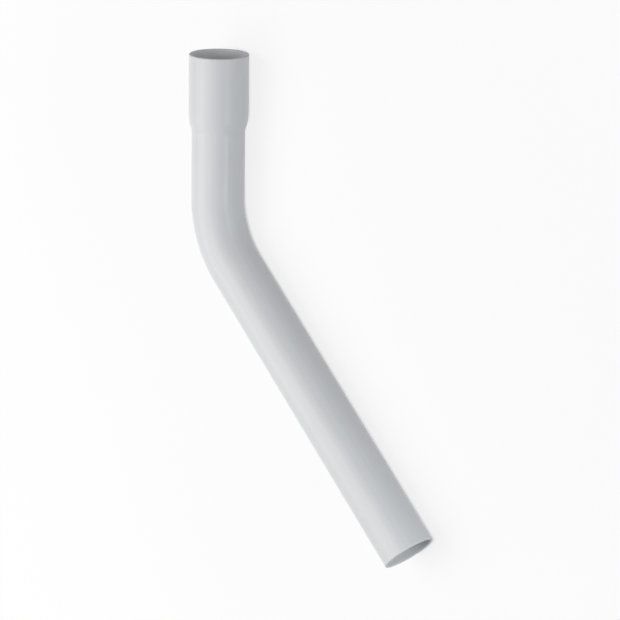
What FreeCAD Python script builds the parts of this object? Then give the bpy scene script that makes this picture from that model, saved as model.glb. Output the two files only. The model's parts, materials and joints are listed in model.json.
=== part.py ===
import FreeCAD, Part
import math
import os

import Sketcher
from FreeCAD import Placement, Rotation, Vector

# Flush pipe: a plastic tube with one bend and a belled socket, lying on its side as it comes to rest.
# Frame: millimetres, +Z up, the floor at Z 0 and the origin under the middle of the pipe.
# The lower leg runs along +X, the bend turns the tube towards +Y, and the socket opens at the far end.

# Driving dimensions, in millimetres and degrees: alias, value, meaning.
SIZES = [
    ("pipe_diameter", "44", "outside of the plain tube"),
    ("wall", "2.2", "wall of the tube and of the socket"),
    ("socket_clearance", "0.4", "gap all round a plain tube end in the socket"),
    ("socket_depth", "49", "straight part of the socket, from its mouth"),
    ("flare_length", "12", "run of the shoulder's rounded curve, beside the socket"),
    ("throat_length", "5", "run of the shoulder's hollow curve, beside the tube"),
    ("upper_length", "55", "straight tube between the shoulder and the bend"),
    ("bend_radius", "78", "bend, measured to the tube's centreline"),
    ("bend_angle", "45", "turn of the bend"),
    ("lower_length", "280", "straight tube from the bend to the spigot end"),
    ("edge_break", "0.5", "chamfer on the edges of both cut ends"),
]

# A sketch's own origin, as Sketcher numbers it.
ORIGIN = (-1, 1)

# Directions in a sketch, as angles from its X axis.
UP, DOWN = math.pi / 2, 3 * math.pi / 2


def make_sheet(doc):
    """The spreadsheet that holds the driving dimensions."""
    sheet = doc.addObject("Spreadsheet::Sheet", "sizes")
    for row, (alias, value, meaning) in enumerate(SIZES, start=1):
        sheet.set(f"A{row}", alias)
        sheet.set(f"B{row}", value)
        sheet.setAlias(f"B{row}", alias)
        sheet.set(f"C{row}", meaning)
    doc.recompute()
    return sheet


def new_sketch(body, name, role):
    """An empty sketch on one of the body's origin planes."""
    sketch = body.newObject("Sketcher::SketchObject", name)
    plane = next(item for item in body.Origin.OriginFeatures if item.Role == role)
    sketch.AttachmentSupport = [(plane, "")]
    sketch.MapMode = "FlatFace"
    return sketch


def arc(middle, radius, first, last):
    """An arc from one angle to another, anticlockwise, in radians."""
    return Part.ArcOfCircle(Part.Circle(middle, Vector(0, 0, 1), radius), first, last)


def start(curve):
    """The first point of a line or arc, as Sketcher numbers it."""
    return curve, 1


def end(curve):
    """The last point of a line or arc."""
    return curve, 2


def centre(curve):
    """The centre of an arc or circle."""
    return curve, 3


def constrain(sketch, kind, *where):
    """A geometric constraint."""
    sketch.addConstraint(Sketcher.Constraint(kind, *where))


def dimension(sketch, name, kind, where, expression):
    """A named dimension that follows the sheet."""
    now = sketch.evalExpression(expression).Value
    value = math.radians(now) if kind == "Angle" else now
    index = sketch.addConstraint(Sketcher.Constraint(kind, *where, value))
    sketch.renameConstraint(index, name)
    sketch.setExpression(f"Constraints.{name}", expression)


def draw_centreline(body, sheet):
    """The tube's path: lower leg, bend and the straight below the shoulder."""
    radius = sheet.bend_radius
    turn = math.radians(sheet.bend_angle)
    bend_top = Vector(-radius * math.sin(turn), radius * (1 - math.cos(turn)), 0)
    leg_top = bend_top + Vector(-math.cos(turn), math.sin(turn), 0) * sheet.upper_length

    sketch = new_sketch(body, "centreline", "XY_Plane")
    lower = sketch.addGeometry(Part.LineSegment(Vector(sheet.lower_length, 0, 0), Vector()))
    bend = sketch.addGeometry(arc(Vector(0, radius, 0), radius, DOWN - turn, DOWN))
    upper = sketch.addGeometry(Part.LineSegment(bend_top, leg_top))

    constrain(sketch, "Coincident", *end(lower), *ORIGIN)
    constrain(sketch, "Horizontal", lower)
    constrain(sketch, "Tangent", *end(lower), *end(bend))
    constrain(sketch, "Tangent", *start(bend), *start(upper))
    dimension(sketch, "lower_length", "Distance", [lower], "sizes.lower_length * 1 mm")
    dimension(sketch, "bend_radius", "Radius", [bend], "sizes.bend_radius * 1 mm")
    dimension(sketch, "upper_length", "Distance", [upper], "sizes.upper_length * 1 mm")
    dimension(sketch, "upper_slope", "Angle", [upper], "(180 - sizes.bend_angle) * 1 deg")
    return sketch


def draw_tube_section(body, sheet):
    """The tube's ring section, across the spigot end of the path."""
    sketch = new_sketch(body, "tube_section", "YZ_Plane")
    sketch.setExpression("AttachmentOffset.Base.z", "sizes.lower_length * 1 mm")
    rings = (
        ("tube_outside", "sizes.pipe_diameter * 1 mm"),
        ("tube_bore", "(sizes.pipe_diameter - 2 * sizes.wall) * 1 mm"),
    )
    for name, expression in rings:
        ring = sketch.addGeometry(Part.Circle(Vector(), Vector(0, 0, 1), sheet.pipe_diameter / 2))
        constrain(sketch, "Coincident", *centre(ring), *ORIGIN)
        dimension(sketch, name, "Diameter", [ring], expression)
    return sketch


def shoulder_curves(sheet):
    """Radius of the flare, radius of the throat and the angle that both turn, on the outside.

    Two arcs meet in a common tangent. They climb from the tube to the socket over the shoulder's length.
    """
    climb = sheet.socket_clearance + sheet.wall
    turn = 2 * math.atan2(climb, sheet.flare_length + sheet.throat_length)
    return sheet.flare_length / math.sin(turn), sheet.throat_length / math.sin(turn), turn


def draw_socket_section(body, sheet):
    """Half section of the shoulder and socket, with its X axis along the upper leg."""
    wall, lip = sheet.wall, sheet.edge_break
    tube = sheet.pipe_diameter / 2
    bore = tube + sheet.socket_clearance
    outside = bore + wall
    shoulder = sheet.flare_length + sheet.throat_length
    mouth = shoulder + sheet.socket_depth
    flare, throat, turn = shoulder_curves(sheet)
    flare_centre = Vector(shoulder, outside - flare, 0)
    throat_centre = Vector(0, tube + throat, 0)

    sketch = new_sketch(body, "socket_section", "XY_Plane")
    behind = "sizes.bend_radius * sin(sizes.bend_angle) + sizes.upper_length * cos(sizes.bend_angle)"
    beside = "sizes.bend_radius * (1 - cos(sizes.bend_angle)) + sizes.upper_length * sin(sizes.bend_angle)"
    sketch.AttachmentOffset = Placement(Vector(), Rotation(Vector(0, 0, 1), 180 - sheet.bend_angle))
    sketch.setExpression("AttachmentOffset.Base.x", f"-({behind}) * 1 mm")
    sketch.setExpression("AttachmentOffset.Base.y", f"({beside}) * 1 mm")
    sketch.setExpression("AttachmentOffset.Rotation.Angle", "(180 - sizes.bend_angle) * 1 deg")

    def line(x_from, y_from, x_to, y_to):
        return sketch.addGeometry(Part.LineSegment(Vector(x_from, y_from, 0), Vector(x_to, y_to, 0)))

    throat_out = sketch.addGeometry(arc(throat_centre, throat, DOWN, DOWN + turn))
    flare_out = sketch.addGeometry(arc(flare_centre, flare, UP, UP + turn))
    socket_out = line(shoulder, outside, mouth - lip, outside)
    lip_out = line(mouth - lip, outside, mouth, outside - lip)
    rim = line(mouth, outside - lip, mouth, bore + lip)
    lip_in = line(mouth, bore + lip, mouth - lip, bore)
    socket_in = line(mouth - lip, bore, shoulder, bore)
    flare_in = sketch.addGeometry(arc(flare_centre, flare - wall, UP, UP + turn))
    throat_in = sketch.addGeometry(arc(throat_centre, throat + wall, DOWN, DOWN + turn))
    joint = line(0, tube - wall, 0, tube)

    # The outline closes on itself, smooth where the curves meet.
    constrain(sketch, "Tangent", *end(throat_out), *end(flare_out))
    constrain(sketch, "Tangent", *start(flare_out), *start(socket_out))
    constrain(sketch, "Coincident", *end(socket_out), *start(lip_out))
    constrain(sketch, "Coincident", *end(lip_out), *start(rim))
    constrain(sketch, "Coincident", *end(rim), *start(lip_in))
    constrain(sketch, "Coincident", *end(lip_in), *start(socket_in))
    constrain(sketch, "Tangent", *end(socket_in), *start(flare_in))
    constrain(sketch, "Tangent", *end(flare_in), *end(throat_in))
    constrain(sketch, "Coincident", *start(throat_in), *start(joint))
    constrain(sketch, "Coincident", *end(joint), *start(throat_out))
    constrain(sketch, "Horizontal", socket_out)
    constrain(sketch, "Horizontal", socket_in)
    constrain(sketch, "Vertical", rim)
    constrain(sketch, "Vertical", joint)
    # The throat leaves the tube in line with it, and the wall keeps its thickness round both curves.
    constrain(sketch, "Vertical", *ORIGIN, *end(joint))
    constrain(sketch, "Vertical", *ORIGIN, *centre(throat_out))
    constrain(sketch, "Coincident", *centre(throat_in), *centre(throat_out))
    constrain(sketch, "Coincident", *centre(flare_in), *centre(flare_out))

    def size(name, kind, first, second, expression):
        dimension(sketch, name, kind, [*first, *second], f"({expression}) * 1 mm")

    bore_radius = "sizes.pipe_diameter / 2 + sizes.socket_clearance"
    size("tube_radius", "DistanceY", ORIGIN, end(joint), "sizes.pipe_diameter / 2")
    size("wall", "DistanceY", start(joint), end(joint), "sizes.wall")
    size("bore_radius", "DistanceY", ORIGIN, end(socket_in), bore_radius)
    size("throat_length", "DistanceX", start(throat_out), end(throat_out), "sizes.throat_length")
    size("flare_length", "DistanceX", end(flare_out), start(flare_out), "sizes.flare_length")
    size("socket_depth", "DistanceX", start(flare_out), start(rim), "sizes.socket_depth")
    size("lip_out_run", "DistanceX", start(lip_out), end(lip_out), "sizes.edge_break")
    size("lip_out_drop", "DistanceY", end(lip_out), start(lip_out), "sizes.edge_break")
    size("lip_in_run", "DistanceX", end(lip_in), start(lip_in), "sizes.edge_break")
    size("lip_in_drop", "DistanceY", end(lip_in), start(lip_in), "sizes.edge_break")
    return sketch


def spigot_edges(shape, lower_length):
    """Names of the round edges of the cut at the spigot end."""
    names = []
    for number, edge in enumerate(shape.Edges, start=1):
        box = edge.BoundBox
        if box.XLength < 1e-6 and abs(box.XMin - lower_length) < 1e-6:
            names.append(f"Edge{number}")
    return names


def build_pipe(doc, sheet):
    """The whole pipe, in the frame of its bend: lower leg along X, bend in the XY plane."""
    body = doc.addObject("PartDesign::Body", "flush_pipe")
    body.Label = "flush_pipe"

    centreline = draw_centreline(body, sheet)
    section = draw_tube_section(body, sheet)
    doc.recompute()
    tube = body.newObject("PartDesign::AdditivePipe", "bent_tube")
    tube.Profile = section
    tube.Spine = (centreline, ["Edge1", "Edge2", "Edge3"])
    doc.recompute()

    socket = body.newObject("PartDesign::Revolution", "belled_socket")
    socket.Profile = draw_socket_section(body, sheet)
    socket.ReferenceAxis = (socket.Profile[0], ["H_Axis"])
    socket.Angle = 360
    doc.recompute()

    deburr = body.newObject("PartDesign::Chamfer", "spigot_deburr")
    deburr.Base = (socket, spigot_edges(socket.Shape, sheet.lower_length))
    deburr.setExpression("Size", "sizes.edge_break * 1 mm")
    body.Tip = deburr
    doc.recompute()
    return body


def rest_tilt(sheet):
    """Tilt about the lower leg, in degrees, that sets the lower leg and the socket's shoulder on one floor.

    The socket is wider than the tube, so the pipe leans on the flare's curve, close to the socket.
    The floor touches that curve where the curve's centre stands one flare radius above it.
    """
    flare, _, _ = shoulder_curves(sheet)
    turn = math.radians(sheet.bend_angle)
    tube = sheet.pipe_diameter / 2
    socket = tube + sheet.socket_clearance + sheet.wall
    corner_to_bend = sheet.bend_radius * math.tan(turn / 2)
    corner_to_socket = corner_to_bend + sheet.upper_length + sheet.throat_length + sheet.flare_length
    curve_centre = math.hypot(corner_to_socket, flare - socket)
    axis_rise = math.asin((flare - tube) / curve_centre) - math.atan2(flare - socket, corner_to_socket)
    return math.degrees(math.asin(math.sin(axis_rise) / math.sin(turn)))


def lay_down(doc, body, sheet):
    """Tilts the pipe to its rest and puts the origin under the middle of its box, on the floor."""
    tilt = Rotation(Vector(1, 0, 0), rest_tilt(sheet))
    body.Placement = Placement(Vector(), tilt)
    doc.recompute()
    box = body.Shape.optimalBoundingBox(False, False)
    body.Placement = Placement(Vector(-box.Center.x, -box.Center.y, -box.ZMin), tilt)
    doc.recompute()


def check(doc, parts):
    """Stops before anything is written if an object failed or a solid is not sound."""
    for item in doc.Objects:
        if {"Invalid", "Error"} & set(item.State):
            raise RuntimeError(f"{item.Label} failed: {item.State}")
    for part in parts:
        shape = part.Shape
        if shape.isNull() or not shape.isValid() or len(shape.Solids) != 1:
            raise RuntimeError(f"{part.Label} is not one sound solid")


def main():
    doc = FreeCAD.newDocument("flush_pipe")
    sheet = make_sheet(doc)
    pipe = build_pipe(doc, sheet)
    lay_down(doc, pipe, sheet)
    parts = [pipe]
    check(doc, parts)
    os.makedirs("parts", exist_ok=True)
    for part in parts:
        part.Shape.exportStep(f"parts/{part.Label}.step")
        print(f"{part.Label}: {part.Shape.Volume:.1f} mm3, tilted {rest_tilt(sheet):.3f} degrees")


main()
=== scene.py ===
import json
import math

import bpy
from mathutils import Euler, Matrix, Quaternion, Vector
from mathutils.geometry import intersect_line_line


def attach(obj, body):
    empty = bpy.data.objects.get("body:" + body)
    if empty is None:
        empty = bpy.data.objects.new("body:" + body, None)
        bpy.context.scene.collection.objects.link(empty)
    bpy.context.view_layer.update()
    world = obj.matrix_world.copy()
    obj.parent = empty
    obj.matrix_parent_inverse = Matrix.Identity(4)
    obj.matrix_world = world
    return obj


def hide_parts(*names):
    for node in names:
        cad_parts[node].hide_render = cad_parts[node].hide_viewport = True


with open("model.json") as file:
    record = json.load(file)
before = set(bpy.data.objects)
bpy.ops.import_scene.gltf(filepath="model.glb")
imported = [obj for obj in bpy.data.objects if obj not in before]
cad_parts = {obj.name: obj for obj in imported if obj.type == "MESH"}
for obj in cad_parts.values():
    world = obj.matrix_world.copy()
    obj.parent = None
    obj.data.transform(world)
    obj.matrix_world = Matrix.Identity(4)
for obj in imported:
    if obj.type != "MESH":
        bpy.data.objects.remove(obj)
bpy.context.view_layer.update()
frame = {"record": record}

# Sizes of the pipe in metres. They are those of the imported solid.
MM = 0.001
TUBE_RADIUS = 22 * MM
WALL = 2.2 * MM
SOCKET_RADIUS = 24.6 * MM
SOCKET_DEPTH = 49 * MM
FLARE_LENGTH = 12 * MM
THROAT_LENGTH = 5 * MM
UPPER_LENGTH = 55 * MM
BEND_RADIUS = 78 * MM
LOWER_LENGTH = 280 * MM
EDGE_BREAK = 0.5 * MM

# How finely the mesh is divided. A narrow band beside each cut end keeps the chamfer's shading off the tube.
RING_POINTS = 96
STRAIGHT_STEPS = 8
BEND_STEPS = 36
SHOULDER_STEPS = 10
BAND_STEPS = 2
BAND_END = 4 * EDGE_BREAK

# The photograph's view: the camera looks down on the lying pipe and is turned until the socket points up.
CAMERA_PLACE = Vector((0.558722, 1.300120, 1.514072))
CAMERA_AIM = Vector((0.003187, -0.026404, 0.0))
CAMERA_ROLL = math.radians(-104.46)
CAMERA_LENS = 147.155
SENSOR_WIDTH = 36.0

# The floor: its own colour, and how white it looks under the pipe and near it. Less white under the pipe is
# painted shade, over the lamps' real shadow. The first goes over into the second within that shade's reach.
# From the near distance to the far one, the floor turns all white.
WHITE = (1, 1, 1, 1)
FLOOR_WIDTH = 60
FLOOR_GAP = 0.1 * MM
FLOOR_COLOUR = (0.45, 0.45, 0.45, 1)
FLOOR_WHITE_IN_PAINTED_SHADE = 0.2
FLOOR_WHITE_NEAR = 0.82
FLOOR_NEAR, FLOOR_FAR = 0.25, 0.7
PAINTED_SHADE_REACH = 3.5 * MM
PAINTED_SHADE_SAMPLES = 8

# Soft lamps. The turn and height of a lamp's direction and the spread of its beam are in degrees, and lengths
# are in metres. The near lamp lights the bend most, and the small end lamp the inside of the spigot end.
NEUTRAL = (1.0, 1.0, 1.0)
COOL = (0.975, 1.0, 1.04)
MIDDLE = Vector((0, 0, 0))
BEND = Vector((-0.04, -0.05, 0.02))
SPIGOT_END = Vector((0.21, -0.052, 0.02))
LAMPS = {
    # target, turn, height, distance, width, depth, watts, spread, colour
    "overhead": (MIDDLE, 180, 78, 3.2, 1.6, 2.9, 33.2, 180, NEUTRAL),
    "key": (MIDDLE, 228, 55, 3.2, 3.2, 2.3, 33.0, 180, NEUTRAL),
    "near": (BEND, 265, 50, 1.0, 0.8, 0.6, 2.2, 180, NEUTRAL),
    "low": (MIDDLE, 60, 6, 3.2, 1.2, 0.6, 18.7, 180, COOL),
    "streak": (MIDDLE, 29, 11, 3.2, 0.5, 0.3, 11.9, 180, COOL),
    "end": (SPIGOT_END, 30, 4, 0.25, 0.16, 0.03, 0.0105, 50, COOL),
}
FILL = 0.169

# The plastic's share of gloss, and its colours, linear.
SPECULAR = 0.25
PALE = (0.816, 0.831, 0.842, 1)
DULL = (0.768, 0.783, 0.797, 1)
WORN = (0.830, 0.840, 0.848, 1)
# The cut ends' two colours are darker than the skin as painted shade on the end faces; the real tone of the
# saw marks lies between them.
SAWN_PALE_WITH_PAINTED_SHADE = (0.720, 0.728, 0.736, 1)
SAWN_DARK_WITH_PAINTED_SHADE = (0.630, 0.638, 0.647, 1)

# The skin's grain: features a metre across the tube, features a metre along it, and levels of finer detail.
MOTTLE = (55, 32, 2)
DIE_LINES = (800, 3, 2)
PEEL = (500, 350, 1)
SCRATCHES = (1100, 14, 1)
RINGS = (12, 1100, 2)
WEAR = (330, 520, 4)

# The saw marks on the cut ends: their turn in radians, features a metre, and levels of finer detail.
SAW_TURN = 0.4
SAW_SCALE = (90, 2200, 60)
SAW_DETAIL = 3

# The values over which each grain comes in, and the distances from a cut end over which the wear fades out.
MOTTLE_RANGE = (0.1, 0.9)
TONE_RANGE = (0.2, 0.8)
SCRATCH_RANGE = (0.64, 0.78)
WEAR_RANGE = (0.38, 0.62)
SAW_RANGE = (0.3, 0.7)
WORN_EDGE = (0.4 * MM, 5 * MM)

# How much each grain counts in the colour.
MOTTLE_TONE = 0.35
DIE_LINE_TONE = 0.65
SCRATCH_TONE = 0.5
WEAR_TONE = 0.6

# Roughness. The skin's stays above 0.274: the denoiser takes a smoother surface for a mirror, and a skin that
# is on both sides of that value shows the outlines of its mottling.
SKIN_ROUGHNESS = (0.28, 0.33)
SCRATCH_ROUGHNESS = 0.10
WEAR_ROUGHNESS = 0.16
SAWN_ROUGHNESS = (0.62, 0.5)

# Depths of the bumps.
DIE_LINE_DEPTH = 0.012 * MM
PEEL_DEPTH = 0.006 * MM
RING_DEPTH = 0.008 * MM
SAW_DEPTH = 0.05 * MM

# The mesh attribute that the grain is laid out on: two cross directions and the distance along the tube.
UNROLLED = "unrolled"


class Path:
    """The tube's centreline, from the spigot end to the mouth, laid on the axes of the record's mounts."""

    def __init__(self, record):
        mounts = {mount["name"]: mount for mount in record["mounts"]}
        spigot, socket = mounts["pan_spigot"], mounts["socket"]
        self.lower = Vector(spigot["axis"]).normalized()
        self.upper = Vector(socket["axis"]).normalized()
        spigot_point, socket_point = Vector(spigot["pos_m"]), Vector(socket["pos_m"])
        corner, _ = intersect_line_line(
            spigot_point, spigot_point + self.lower, socket_point, socket_point + self.upper
        )
        self.turn = self.upper.angle(-self.lower)
        tangent_length = BEND_RADIUS * math.tan(self.turn / 2)
        self.bend_end = corner + self.lower * tangent_length
        self.inward = (self.upper - self.lower * self.upper.dot(self.lower)).normalized()
        self.across = self.lower.cross(self.inward)
        self.bend_length = BEND_RADIUS * self.turn
        self.length = LOWER_LENGTH + self.bend_length + UPPER_LENGTH
        self.length += THROAT_LENGTH + FLARE_LENGTH + SOCKET_DEPTH

    def at(self, distance):
        """Centre of the tube and its two cross directions at a distance from the spigot end."""
        past_lower = distance - LOWER_LENGTH
        turned = min(max(past_lower / BEND_RADIUS, 0), self.turn)
        rotation = Quaternion(self.across, -turned)
        inward = rotation @ self.inward
        forward = rotation @ -self.lower
        bend_centre = self.bend_end + self.inward * BEND_RADIUS
        straight = past_lower - turned * BEND_RADIUS
        return bend_centre - inward * BEND_RADIUS + forward * straight, inward, self.across


def spaced(first, last, steps):
    """Evenly spaced values from the first up to, but without, the last."""
    return [first + (last - first) * step / steps for step in range(steps)]


def outside_profile(path):
    """Points of the tube's outside from end to end: distance along the path, radius and slope angle."""
    climb = SOCKET_RADIUS - TUBE_RADIUS
    slope = 2 * math.atan2(climb, FLARE_LENGTH + THROAT_LENGTH)
    throat_radius = THROAT_LENGTH / math.sin(slope)
    flare_radius = FLARE_LENGTH / math.sin(slope)
    bend_start = LOWER_LENGTH
    bend_end = bend_start + path.bend_length
    shoulder = bend_end + UPPER_LENGTH
    socket = shoulder + THROAT_LENGTH + FLARE_LENGTH
    mouth_band = path.length - BAND_END
    mouth_chamfer = path.length - EDGE_BREAK

    stations = spaced(EDGE_BREAK, BAND_END, BAND_STEPS)
    stations += spaced(BAND_END, bend_start, STRAIGHT_STEPS)
    stations += spaced(bend_start, bend_end, BEND_STEPS)
    stations += spaced(bend_end, shoulder, STRAIGHT_STEPS)
    points = [(station, TUBE_RADIUS, 0) for station in stations]
    for angle in spaced(0, slope, SHOULDER_STEPS):
        station = shoulder + throat_radius * math.sin(angle)
        points.append((station, TUBE_RADIUS + throat_radius * (1 - math.cos(angle)), angle))
    for angle in spaced(slope, 0, SHOULDER_STEPS):
        station = socket - flare_radius * math.sin(angle)
        points.append((station, SOCKET_RADIUS - flare_radius * (1 - math.cos(angle)), angle))
    stations = spaced(socket, mouth_band, STRAIGHT_STEPS)
    stations += spaced(mouth_band, mouth_chamfer, BAND_STEPS)
    stations.append(mouth_chamfer)
    points += [(station, SOCKET_RADIUS, 0) for station in stations]
    return points


def wall_section(path):
    """The closed outline of the wall, as distance along the path and radius."""
    outside = outside_profile(path)
    outer = [(station, radius) for station, radius, _ in outside]
    inner = [
        (station + WALL * math.sin(slope), radius - WALL * math.cos(slope))
        for station, radius, slope in reversed(outside)
    ]
    mouth_rim = [
        (path.length, SOCKET_RADIUS - EDGE_BREAK),
        (path.length, SOCKET_RADIUS - WALL + EDGE_BREAK),
    ]
    spigot_rim = [
        (0, TUBE_RADIUS - WALL + EDGE_BREAK),
        (0, TUBE_RADIUS - EDGE_BREAK),
    ]
    return outer + mouth_rim + inner + spigot_rim


def build_pipe(path):
    """The pipe's skin: the wall's section carried round the centreline, as one closed grid of quads."""
    section = wall_section(path)
    points = []
    surface = []
    for distance, radius in section:
        centre, inward, across = path.at(distance)
        for step in range(RING_POINTS):
            angle = 2 * math.pi * step / RING_POINTS
            points.append(centre + (inward * math.cos(angle) + across * math.sin(angle)) * radius)
            surface.append((radius * math.cos(angle), radius * math.sin(angle), distance))

    # The rims and their chamfers take the second material, the sawn one, whose darker colour is painted
    # shade.
    quads = []
    sawn_faces = []
    for row in range(len(section)):
        next_row = (row + 1) % len(section)
        here = row * RING_POINTS
        there = next_row * RING_POINTS
        ends = section[row][0], section[next_row][0]
        sawn_faces += [int(0 in ends or path.length in ends)] * RING_POINTS
        for step in range(RING_POINTS):
            turn = (step + 1) % RING_POINTS
            quads.append((here + step, there + step, there + turn, here + turn))

    mesh = bpy.data.meshes.new("pipe")
    mesh.from_pydata(points, [], quads)
    mesh.shade_smooth()
    mesh.polygons.foreach_set("material_index", sawn_faces)
    unrolled = mesh.attributes.new(UNROLLED, "FLOAT_VECTOR", "POINT")
    unrolled.data.foreach_set("vector", [number for spot in surface for number in spot])
    pipe = bpy.data.objects.new("pipe", mesh)
    bpy.context.scene.collection.objects.link(pipe)
    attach(pipe, "root")
    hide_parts("flush_pipe")
    return pipe


class Nodes:
    """Adds nodes to one node tree. A socket is given a value or the output of another node."""

    def __init__(self, tree):
        self.tree = tree
        tree.nodes.clear()

    def add(self, kind, sockets, **settings):
        """A new node with its settings made and its sockets filled."""
        node = self.tree.nodes.new("ShaderNode" + kind)
        for name, value in settings.items():
            setattr(node, name, value)
        for name, value in sockets.items():
            if isinstance(value, bpy.types.NodeSocket):
                self.tree.links.new(value, node.inputs[name])
            else:
                node.inputs[name].default_value = value
        return node

    def math(self, operation, first, second):
        """The result of one sum, product or other operation on two values."""
        return self.add("Math", {0: first, 1: second}, operation=operation).outputs["Value"]

    def step(self, value, low, high, first=0, last=1):
        """A smooth change from the first value to the last while the input goes from low to high."""
        sockets = {"Value": value, "From Min": low, "From Max": high, "To Min": first, "To Max": last}
        return self.add("MapRange", sockets, interpolation_type="SMOOTHSTEP").outputs["Result"]

    def unrolled(self):
        """The place on the tube that the grain is laid out on."""
        return self.add("Attribute", {}, attribute_name=UNROLLED).outputs["Vector"]

    def noise(self, place, across, along, detail):
        """Noise with so many features a metre across the tube and along it."""
        stretched = self.add("Mapping", {"Vector": place, "Scale": (across, across, along)}).outputs["Vector"]
        return self.add("TexNoise", {"Vector": stretched, "Scale": 1, "Detail": detail}).outputs["Fac"]

    def blend(self, share, first, second):
        """A colour between two, by the share of the second. The Mix node numbers its colour sockets so."""
        colour_a, colour_b, result = 6, 7, 2
        node = self.add("Mix", {0: share, colour_a: first, colour_b: second}, data_type="RGBA")
        return node.outputs[result]

    def bump(self, height, depth, normal=None):
        """The surface's direction with bumps of this depth, over any bumps that it already has."""
        sockets = {"Height": height, "Distance": depth}
        if normal:
            sockets["Normal"] = normal
        return self.add("Bump", sockets).outputs["Normal"]

    def plastic(self, colour, roughness, normal):
        """Ends a material of the pipe in its shader."""
        sockets = {
            "Base Color": colour,
            "Roughness": roughness,
            "Normal": normal,
            "Specular IOR Level": SPECULAR,
        }
        shader = self.add("BsdfPrincipled", sockets)
        self.add("OutputMaterial", {"Surface": shader.outputs["BSDF"]})


def new_material(name):
    """An empty material and the helper that adds its nodes."""
    material = bpy.data.materials.new(name)
    material.use_nodes = True
    return material, Nodes(material.node_tree)


def skin(path):
    """Satin pipe plastic: faint die lines from extrusion, mottling, ripples in the bell, scuffed ends."""
    material, nodes = new_material("satin_plastic")
    place = nodes.unrolled()
    distance = nodes.add("SeparateXYZ", {"Vector": place}).outputs["Z"]
    from_mouth = nodes.math("SUBTRACT", path.length, distance)
    from_end = nodes.math("MINIMUM", distance, from_mouth)

    mottle = nodes.noise(place, *MOTTLE)
    die_lines = nodes.noise(place, *DIE_LINES)
    peel = nodes.noise(place, *PEEL)
    scratches = nodes.step(nodes.noise(place, *SCRATCHES), *SCRATCH_RANGE)
    bell = nodes.step(from_mouth, SOCKET_DEPTH + FLARE_LENGTH, SOCKET_DEPTH)
    rings = nodes.math("MULTIPLY", nodes.noise(place, *RINGS), bell)
    edge = nodes.step(from_end, *WORN_EDGE, 1, 0)
    worn = nodes.math("MULTIPLY", edge, nodes.step(nodes.noise(place, *WEAR), *WEAR_RANGE))

    mottle_tone = nodes.math("MULTIPLY", mottle, MOTTLE_TONE)
    die_line_tone = nodes.math("MULTIPLY", die_lines, DIE_LINE_TONE)
    tone = nodes.math("ADD", mottle_tone, die_line_tone)
    colour = nodes.blend(nodes.step(tone, *TONE_RANGE), DULL, PALE)
    colour = nodes.blend(nodes.math("MULTIPLY", scratches, SCRATCH_TONE), colour, DULL)
    colour = nodes.blend(nodes.math("MULTIPLY", worn, WEAR_TONE), colour, WORN)

    roughness = nodes.step(mottle, *MOTTLE_RANGE, *SKIN_ROUGHNESS)
    roughness = nodes.math("ADD", roughness, nodes.math("MULTIPLY", scratches, SCRATCH_ROUGHNESS))
    roughness = nodes.math("ADD", roughness, nodes.math("MULTIPLY", worn, WEAR_ROUGHNESS))

    normal = nodes.bump(die_lines, DIE_LINE_DEPTH)
    normal = nodes.bump(peel, PEEL_DEPTH, normal)
    normal = nodes.bump(rings, RING_DEPTH, normal)
    nodes.plastic(colour, roughness, normal)
    return material


def sawn():
    """The cut ends: matte, with the fine parallel marks of the saw, in colours darkened as painted shade."""
    material, nodes = new_material("sawn_plastic_painted_shade")
    place = nodes.unrolled()
    turned = nodes.add("Mapping", {"Vector": place, "Rotation": (0, 0, SAW_TURN)}).outputs["Vector"]
    streaks = nodes.add("Mapping", {"Vector": turned, "Scale": SAW_SCALE}).outputs["Vector"]
    marks = nodes.add("TexNoise", {"Vector": streaks, "Scale": 1, "Detail": SAW_DETAIL}).outputs["Fac"]
    # Painted shade: both cut-end colours are darker than the skin, and the saw marks pick between them.
    colour = nodes.blend(nodes.step(marks, *SAW_RANGE), SAWN_DARK_WITH_PAINTED_SHADE, SAWN_PALE_WITH_PAINTED_SHADE)
    roughness = nodes.step(marks, *SAW_RANGE, *SAWN_ROUGHNESS)
    nodes.plastic(colour, roughness, nodes.bump(marks, SAW_DEPTH))
    return material


def seen_directly(nodes):
    """A value that is 1 for rays that show the background: camera rays, and mirror and glass rays."""
    light_path = nodes.add("LightPath", {}).outputs
    mirrored = nodes.math("MAXIMUM", light_path["Is Glossy Ray"], light_path["Is Transmission Ray"])
    return nodes.math("MAXIMUM", light_path["Is Camera Ray"], mirrored)


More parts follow.
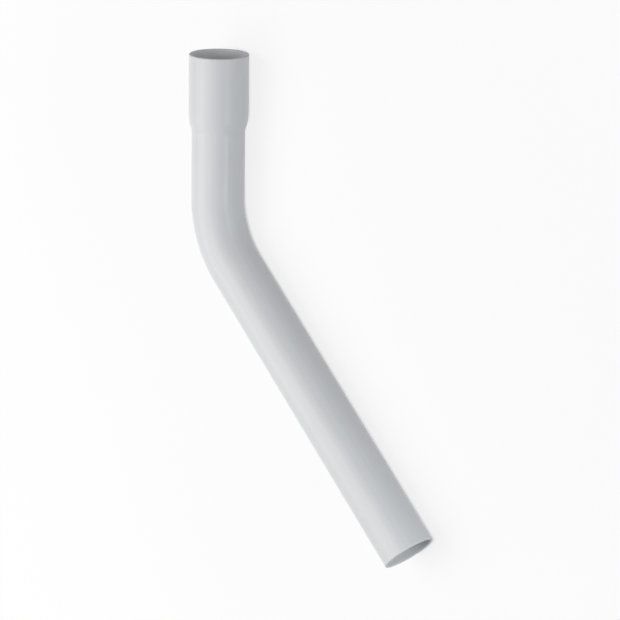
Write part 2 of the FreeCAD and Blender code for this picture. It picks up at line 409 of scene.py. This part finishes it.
def build_floor():
    """A wide pale floor, white where it is seen, that keeps a faint shadow of the pipe, deepened under the
    pipe by painted shade.
    """
    bpy.ops.mesh.primitive_plane_add(size=FLOOR_WIDTH, location=(0, 0, -FLOOR_GAP))
    floor = bpy.context.object
    floor.name = "floor"
    material, nodes = new_material("floor")
    paint = nodes.add("BsdfDiffuse", {"Color": FLOOR_COLOUR}).outputs["BSDF"]
    shaded = nodes.add("BsdfDiffuse", {"Color": WHITE}).outputs["BSDF"]
    white = nodes.add("Emission", {"Color": WHITE, "Strength": 1}).outputs["Emission"]
    spot = nodes.add("NewGeometry", {}).outputs["Position"]
    reach = nodes.add("VectorMath", {0: spot}, operation="LENGTH").outputs["Value"]
    # Painted shade: where the pipe overhangs the floor, less of the white glow shows and the floor goes
    # darker.
    contact = nodes.add("AmbientOcclusion", {"Distance": PAINTED_SHADE_REACH}, samples=PAINTED_SHADE_SAMPLES)
    near_white_with_painted_shade = nodes.step(contact.outputs["AO"], 0, 1, FLOOR_WHITE_IN_PAINTED_SHADE, FLOOR_WHITE_NEAR)
    whiteness = nodes.step(reach, FLOOR_NEAR, FLOOR_FAR, near_white_with_painted_shade, 1)
    seen = nodes.add("MixShader", {"Fac": whiteness, 1: shaded, 2: white}).outputs["Shader"]
    surface = nodes.add("MixShader", {"Fac": seen_directly(nodes), 1: paint, 2: seen}).outputs["Shader"]
    nodes.add("OutputMaterial", {"Surface": surface})
    floor.data.materials.append(material)


def build_world():
    """Surroundings that are white where they are seen and give a weak even fill."""
    world = bpy.data.worlds.new("studio")
    bpy.context.scene.world = world
    world.use_nodes = True
    nodes = Nodes(world.node_tree)
    strength = nodes.step(seen_directly(nodes), 0, 1, FILL, 1)
    background = nodes.add("Background", {"Color": WHITE, "Strength": strength})
    nodes.add("OutputWorld", {"Surface": background.outputs["Background"]})


def build_lamps():
    """Softboxes round the pipe, none of them seen by the camera."""
    for name, (target, turn, height, distance, width, depth, watts, spread, colour) in LAMPS.items():
        data = bpy.data.lights.new(name, "AREA")
        data.shape = "RECTANGLE"
        data.size = width
        data.size_y = depth
        data.energy = watts
        data.spread = math.radians(spread)
        data.color = colour
        lamp = bpy.data.objects.new(name, data)
        toward = Euler((0, -math.radians(height), math.radians(turn))).to_matrix() @ Vector((1, 0, 0))
        lamp.location = target + toward * distance
        lamp.rotation_euler = toward.to_track_quat("Z", "Y").to_euler()
        lamp.visible_camera = False
        bpy.context.scene.collection.objects.link(lamp)


def build_camera():
    """The camera that was fitted to the photograph."""
    data = bpy.data.cameras.new("camera")
    data.lens = CAMERA_LENS
    data.sensor_width = SENSOR_WIDTH
    camera = bpy.data.objects.new("camera", data)
    camera.location = CAMERA_PLACE
    aim = (CAMERA_AIM - CAMERA_PLACE).to_track_quat("-Z", "Y")
    camera.rotation_mode = "QUATERNION"
    camera.rotation_quaternion = aim @ Quaternion((0, 0, 1), CAMERA_ROLL)
    bpy.context.scene.collection.objects.link(camera)
    bpy.context.scene.camera = camera


path = Path(frame["record"])
pipe = build_pipe(path)
pipe.data.materials.append(skin(path))
pipe.data.materials.append(sawn())
build_floor()
build_world()
build_lamps()
build_camera()
bpy.context.scene.view_settings.view_transform = "Standard"
